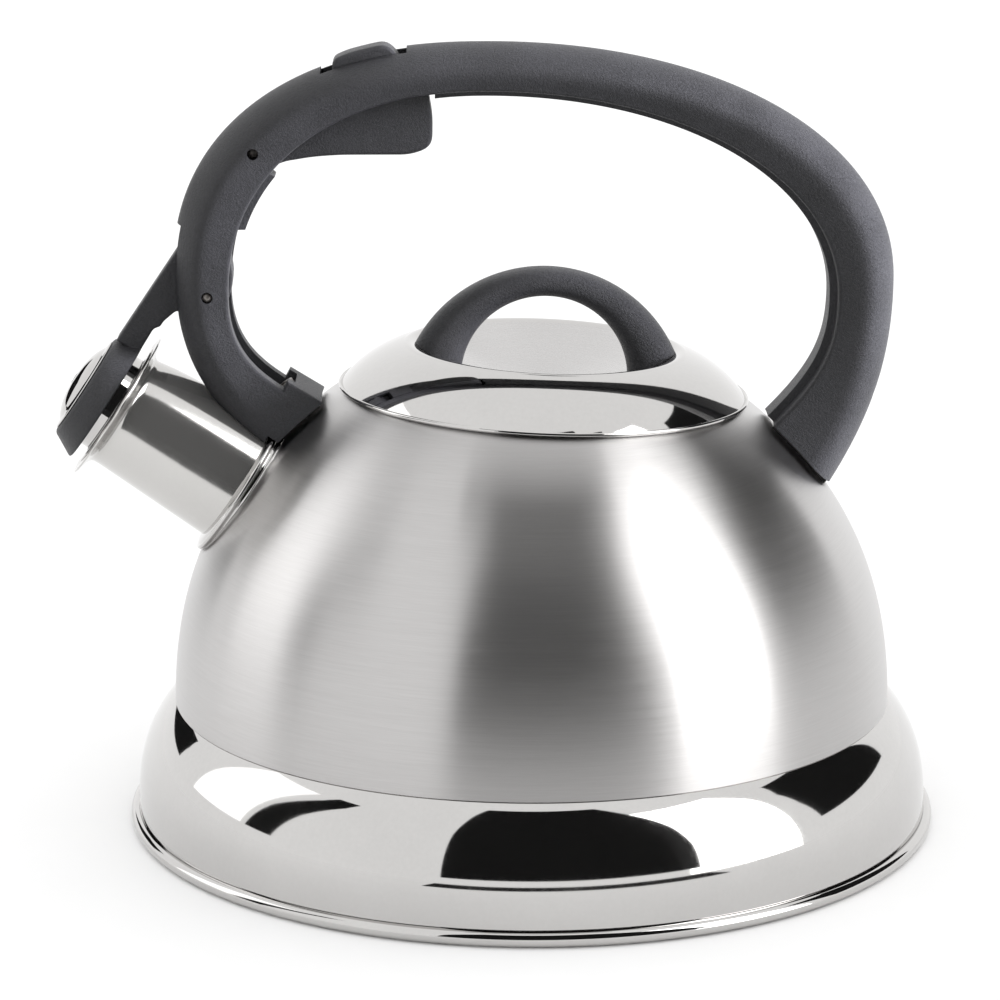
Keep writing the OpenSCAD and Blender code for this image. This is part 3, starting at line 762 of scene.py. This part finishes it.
def make_lever():
    def on(h, t):
        p = ON_SPOUT @ Vector((h, 0, t))
        return p.x, p.z

    arm = round_corners([
        (*on(15.2, 9.45), 0), (-89.6, 150.4, 0.6), (-87.4, 149.6, 0.6), (-85.8, 145.5, 1.5), (-82.2, 144.4, 1),
        (-80.4, 144.2, 0.8), (-79.6, 144.8, 0.8), (-79, 147, 1), (-77.6, 148.9, 0.6), (-76.6, 148.2, 0.6),
        (-75.9, 143, 2), (-76.8, 137.4, 2.5), (-79.2, 134.2, 2), (-82.2, 133.1, 2), (-90.5, 134.2, 0.8),
        (-93.6, 131.6, 0.5), (-94.6, 130.2, 0.3), (-96.3, 129.6, 0.8), (-99.4, 124.6, 1.5), (*on(15.2, 3.3), 0),
    ])
    lever = slab("lever_arm", arm, BLADE_HALF, 0.7, 4)
    cup = [(2.2, 9.55), (2.2, 7.4), (13.3, 7.4), (13.3, 3.3), (13.6, 3.0), (17.1, 3.0)]
    cup += [(17.45, 3.2), (17.45, 3.6), (14.45, 9.15), (14.05, 9.5), (13.6, 9.7), (2.6, 9.7)]
    head = lathe("cap_body", cup, ON_SPOUT, 128)
    carve(lever, [
        rod("bore", LEVER_PIVOT, BORE_R, -THROUGH, THROUGH),
        rod("recess", LEVER_PIVOT, 7.6, 2.8, THROUGH, 0.0, 64),
        lathe("hollow", [(0, 2), (13.3, 2), (13.3, 7.4), (0, 7.4)], ON_SPOUT, 96),
    ], solver="MANIFOLD")
    both = join("whistle_lever", [lever, head])
    return dress(both, PLASTIC, "charcoal_plastic", "spout_lever", "spout_lever")


def make_cap_disc():
    """Pressed disc on the cap's face: a low dome with a steam hole, and a flat flange."""
    foot = 9.76
    profile = [(1.5, foot + 3.15), (1.75, foot + 3.28)]
    for i in range(24):
        r = 2.2 + 8.0 * i / 23
        profile.append((r, foot + 0.6 + 2.75 * (1 - (r / 10.9) ** 2.4) ** 0.8))
    profile += [(10.7, foot + 0.95), (11.2, foot + 0.68), (12.4, foot + 0.6), (12.8, foot + 0.45), (12.9, foot + 0.25)]
    profile += [(12.75, foot), (11.0, foot), (10.0, foot + 0.35), (6, foot + 2.1), (2.0, foot + 2.7), (1.5, foot + 2.75)]
    disc = lathe("cap_face", profile, ON_SPOUT, 128)
    return dress(disc, MIRROR, "polished_steel", "spout_lever", "cap_disc")


def make_whistle():
    cup = [(1.5, -2.8), (11.4, -2.8), (12.0, -2.6), (12.2, -2.2), (12.2, -0.15), (12.5, 0.0), (16.6, 0.0)]
    cup += [(17.1, 0.12), (17.2, 0.35), (16.9, 0.6), (13.6, 0.6), (13.22, 0.8), (13.22, 6.0), (12.62, 6.0)]
    cup += [(12.62, 0.9), (11.6, 0.4), (11.6, -2.1), (1.5, -2.2)]
    piece = lathe("whistle_seat", cup, ON_SPOUT, 128)
    dress(piece, MIRROR, "polished_steel", "spout_lever", "whistle_cup")
    plate = [(1.5, 3.8), (11, 3.8), (12.4, 3.9), (12.5, 4.3), (11.9, 4.45), (4.2, 4.4), (2.4, 4.9), (1.5, 4.9)]
    inner = lathe("whistle_plate", plate, ON_SPOUT, 96)
    dress(inner, MIRROR, "polished_steel", "spout_lever", "whistle_disc")


make_trigger()
make_lever()
make_cap_disc()
make_whistle()

# ------------------------------------------------------------------ lid


def make_lid():
    """The lid's sheet, turned in two pieces: the polished ring with its rolled rim, and the brushed dish."""
    crest = (CREST_R, CREST_Z + 0.35)
    start, stop = (CREST_R + 1.5, ring_z(CREST_R + 1.5)), (CREST_R - 1.7, dish_z(CREST_R - 1.7))
    roll = [
        tuple((1 - t) ** 2 * a + 2 * t * (1 - t) * b + t * t * c for a, b, c in zip(start, crest, stop))
        for t in [i / 12 for i in range(13)]
    ]
    slope = [CREST_R + 1.5 + (RIM_R - CREST_R - 1.7) * i / 40 for i in range(1, 41)]
    bead = arc(RIM_R, RIM_Z, 0.6, 70, -190, 16)
    top = [(r, ring_z(r)) for r in slope]
    under = [(r, ring_z(r, -WALL) - 0.05) for r in reversed(slope) if r < RIM_R - 0.9]
    outline = roll[::-1] + top + bead + under + [(p[0] - 0.1, p[1] - WALL) for p in roll]
    ring = lathe("lid_ring", outline, ON_LID, 256)
    dress(ring, MIRROR, "polished_steel", "lid", "lid_shell")
    edge = CREST_R - 1.7
    flat = [edge * i / 50 for i in range(51)]
    dish = [(r, dish_z(r)) for r in flat] + [(r, dish_z(r) - WALL) for r in reversed(flat)]
    bowl = lathe("lid_dish", dish, ON_LID, 256)
    dress(bowl, DISH_STEEL, "brushed_body", "lid")


def make_knob():
    """Looped knob: a swept bar, oval in section, widening into its two feet."""
    top, outer_r, inner_r, bar = 144.6, 36.9, 21.3, 7.3
    oc, ic = top - outer_r, top - bar - inner_r
    rings = []
    steps = 72
    for i in range(steps + 1):
        s = -1 + 2 * i / steps
        ao, ai = math.radians(90 - 74 * s), math.radians(90 - 96 * s)
        o = Vector((outer_r * math.cos(ao), oc + outer_r * math.sin(ao)))
        n = Vector((inner_r * math.cos(ai), ic + inner_r * math.sin(ai)))
        mid, across = (o + n) / 2, (o - n)
        width = across.length
        across.normalize()
        half = 6.0 + 0.55 * smooth01((abs(s) - 0.3) / 0.6)
        ring = []
        for k in range(48):
            a = 2 * math.pi * k / 48
            c, q = math.cos(a), math.sin(a)
            w = width / 2 * math.copysign(abs(c) ** (2 / 2.5), c)
            y = half * math.copysign(abs(q) ** (2 / 2.4), q)
            ring.append((mid.x + across.x * w, y, mid.y + across.y * w))
        rings.append(ring)
    knob = loft("knob", rings, ON_LID)
    seat = [(0, 90)] + [(33.8 * i / 40, dish_z(33.8 * i / 40) + 0.05) for i in range(41)]
    seat += [(34.2, dish_z(33.8) + 0.05), (60, dish_z(33.8) + 0.05), (60, 90)]
    carve(knob, [lathe("seat", seat, ON_LID, 128)])
    return dress(knob, PLASTIC, "charcoal_plastic", "lid", "lid_knob")


make_lid()
make_knob()

# ------------------------------------------------------------------ CAD nodes that are shown as they are


def coat(node, material):
    obj = frame["nodes"][node]
    obj.data.materials.clear()
    obj.data.materials.append(material)


for node in ("front_bracket", "rear_bracket", "lid_skirt"):
    coat(node, MIRROR)
for node in ("front_screw", "rear_screw", "lever_spring", "knob_screws"):
    coat(node, PLATED)
coat("knob_washers", RUBBER)

# ------------------------------------------------------------------ studio


def plain(name, colour, rough=0.9):
    m = Nodes(name)
    grain = m.noise(m.object_coords(), 40.0, 2.0)
    soft = tuple(c * 0.99 for c in colour)
    m.link(m.ramp(grain, [(0.3, soft), (0.7, colour)]), m.bsdf.inputs["Base Color"])
    m.bsdf.inputs["Roughness"].default_value = rough
    m.bsdf.inputs["Specular IOR Level"].default_value = 0.0
    return m.mat


def make_floor():
    size = 9000
    corners = [(-size, -size, 0), (size, -size, 0), (size, size, 0), (-size, size, 0)]
    floor = make_object("floor", corners, [(0, 1, 2, 3)])
    floor.data.materials.append(plain("pale_floor", (0.98, 0.98, 0.98)))


def stage_only(piece, material):
    """A card of the studio that is only there for the steel to reflect."""
    piece.data.materials.append(material)
    piece.visible_camera = False
    piece.visible_diffuse = False
    piece.visible_shadow = False


def make_key():
    """A side lamp that only falls on the plastic pieces, to bring out their grain."""
    taken = bpy.data.collections.new("plastic_pieces")
    for obj in bpy.data.objects:
        if obj.type == "MESH" and PLASTIC.name in [m.name for m in obj.data.materials if m]:
            taken.objects.link(obj)
    for name, place, watts in (("key_right", (1100, -130, 420), 125.0), ("key_top", (100, 620, 1150), 10.0)):
        data = bpy.data.lights.new(name, "AREA")
        data.shape = "DISK"
        data.size = 0.35
        data.energy = watts
        lamp = bpy.data.objects.new(name, data)
        bpy.context.scene.collection.objects.link(lamp)
        lamp.location = Vector(place) * MM
        lamp.rotation_euler = (Vector((0, 0, 140)) * MM - lamp.location).to_track_quat("-Z", "Y").to_euler()
        lamp.visible_glossy = False
        lamp.light_linking.receiver_collection = taken


def screen(name, edges, shade=0.012, glow=0.0, away=1500):
    """A dark flag or a glowing softbox round the kettle, out of the camera's sight, for the steel to reflect.

    edges lists (elevation, first azimuth, last azimuth) from the bottom up, in degrees from the kettle's front."""
    verts, faces = [], []
    across = 24
    for el, az0, az1 in edges:
        for i in range(across + 1):
            a, e = math.radians(az0 + (az1 - az0) * i / across), math.radians(el)
            flat = away * math.cos(e)
            verts.append((flat * math.sin(a), -flat * math.cos(a), 80 + away * math.sin(e)))
    for j in range(len(edges) - 1):
        for i in range(across):
            k = j * (across + 1) + i
            faces.append((k, k + 1, k + across + 2, k + across + 1))
    piece = make_object(name, verts, faces)
    cloth = plain(name + "_cloth", (shade, shade, shade))
    cloth.node_tree.nodes["Principled BSDF"].inputs["Emission Color"].default_value = (1, 1, 1, 1)
    cloth.node_tree.nodes["Principled BSDF"].inputs["Emission Strength"].default_value = glow
    stage_only(piece, cloth)


def make_studio():
    make_floor()
    front_edges = [(-4, -24, 42), (12, -24, 42), (28, -24, 40), (40, -23, 36), (50, -22, 31), (58.5, -20, 26)]
    screen("flag_front", front_edges, away=523)
    turns = [math.radians(-26 + 54 * i / 12) for i in range(13)]
    strip = [(r * math.sin(a), -r * math.cos(a), 150) for r in (74, 92) for a in turns]
    card = make_object("flag_near", strip, [(i, i + 1, i + 14, i + 13) for i in range(12)])
    stage_only(card, plain("flag_near_cloth", (0.02, 0.02, 0.02)))
    screen("flag_right", [(8, 88, 126), (22, 86, 130), (34, 86, 134), (44, 92, 132)])
    screen("flag_left", [(2, -146, -122), (9, -146, -123), (15, -144, -126)], away=500)
    screen("flag_left_thin", [(4, -88, -78), (24, -85, -74), (40, -78, -67), (46, -76, -66)])
    screen("softbox_right", [(-2.5, 42, 78), (20, 42, 78), (40, 40, 78), (53, 37, 74)], 0.5, 4.6)
    screen("softbox_left", [(4, -114, -90), (30, -114, -87), (44, -116, -84)], 0.5, 1.5)
    near, spread = 330, 4.4
    turns = [math.radians(-27 + 74 * i / 20) for i in range(21)]
    apron = [(near * math.sin(a), -near * math.cos(a), 1) for a in turns]
    apron += [(x * spread, y * spread, 1) for x, y, _ in reversed(apron)]
    front = make_object("flag_floor", apron, [tuple(range(42))])
    stage_only(front, plain("flag_floor_cloth", (0.02, 0.02, 0.02)))
    make_key()
    world = bpy.data.worlds.new("studio")
    world.use_nodes = True
    world.node_tree.nodes["Background"].inputs["Color"].default_value = (1, 1, 1, 1)
    world.node_tree.nodes["Background"].inputs["Strength"].default_value = 1.17
    bpy.context.scene.world = world
    bpy.context.scene.view_settings.view_transform = "Standard"


make_studio()
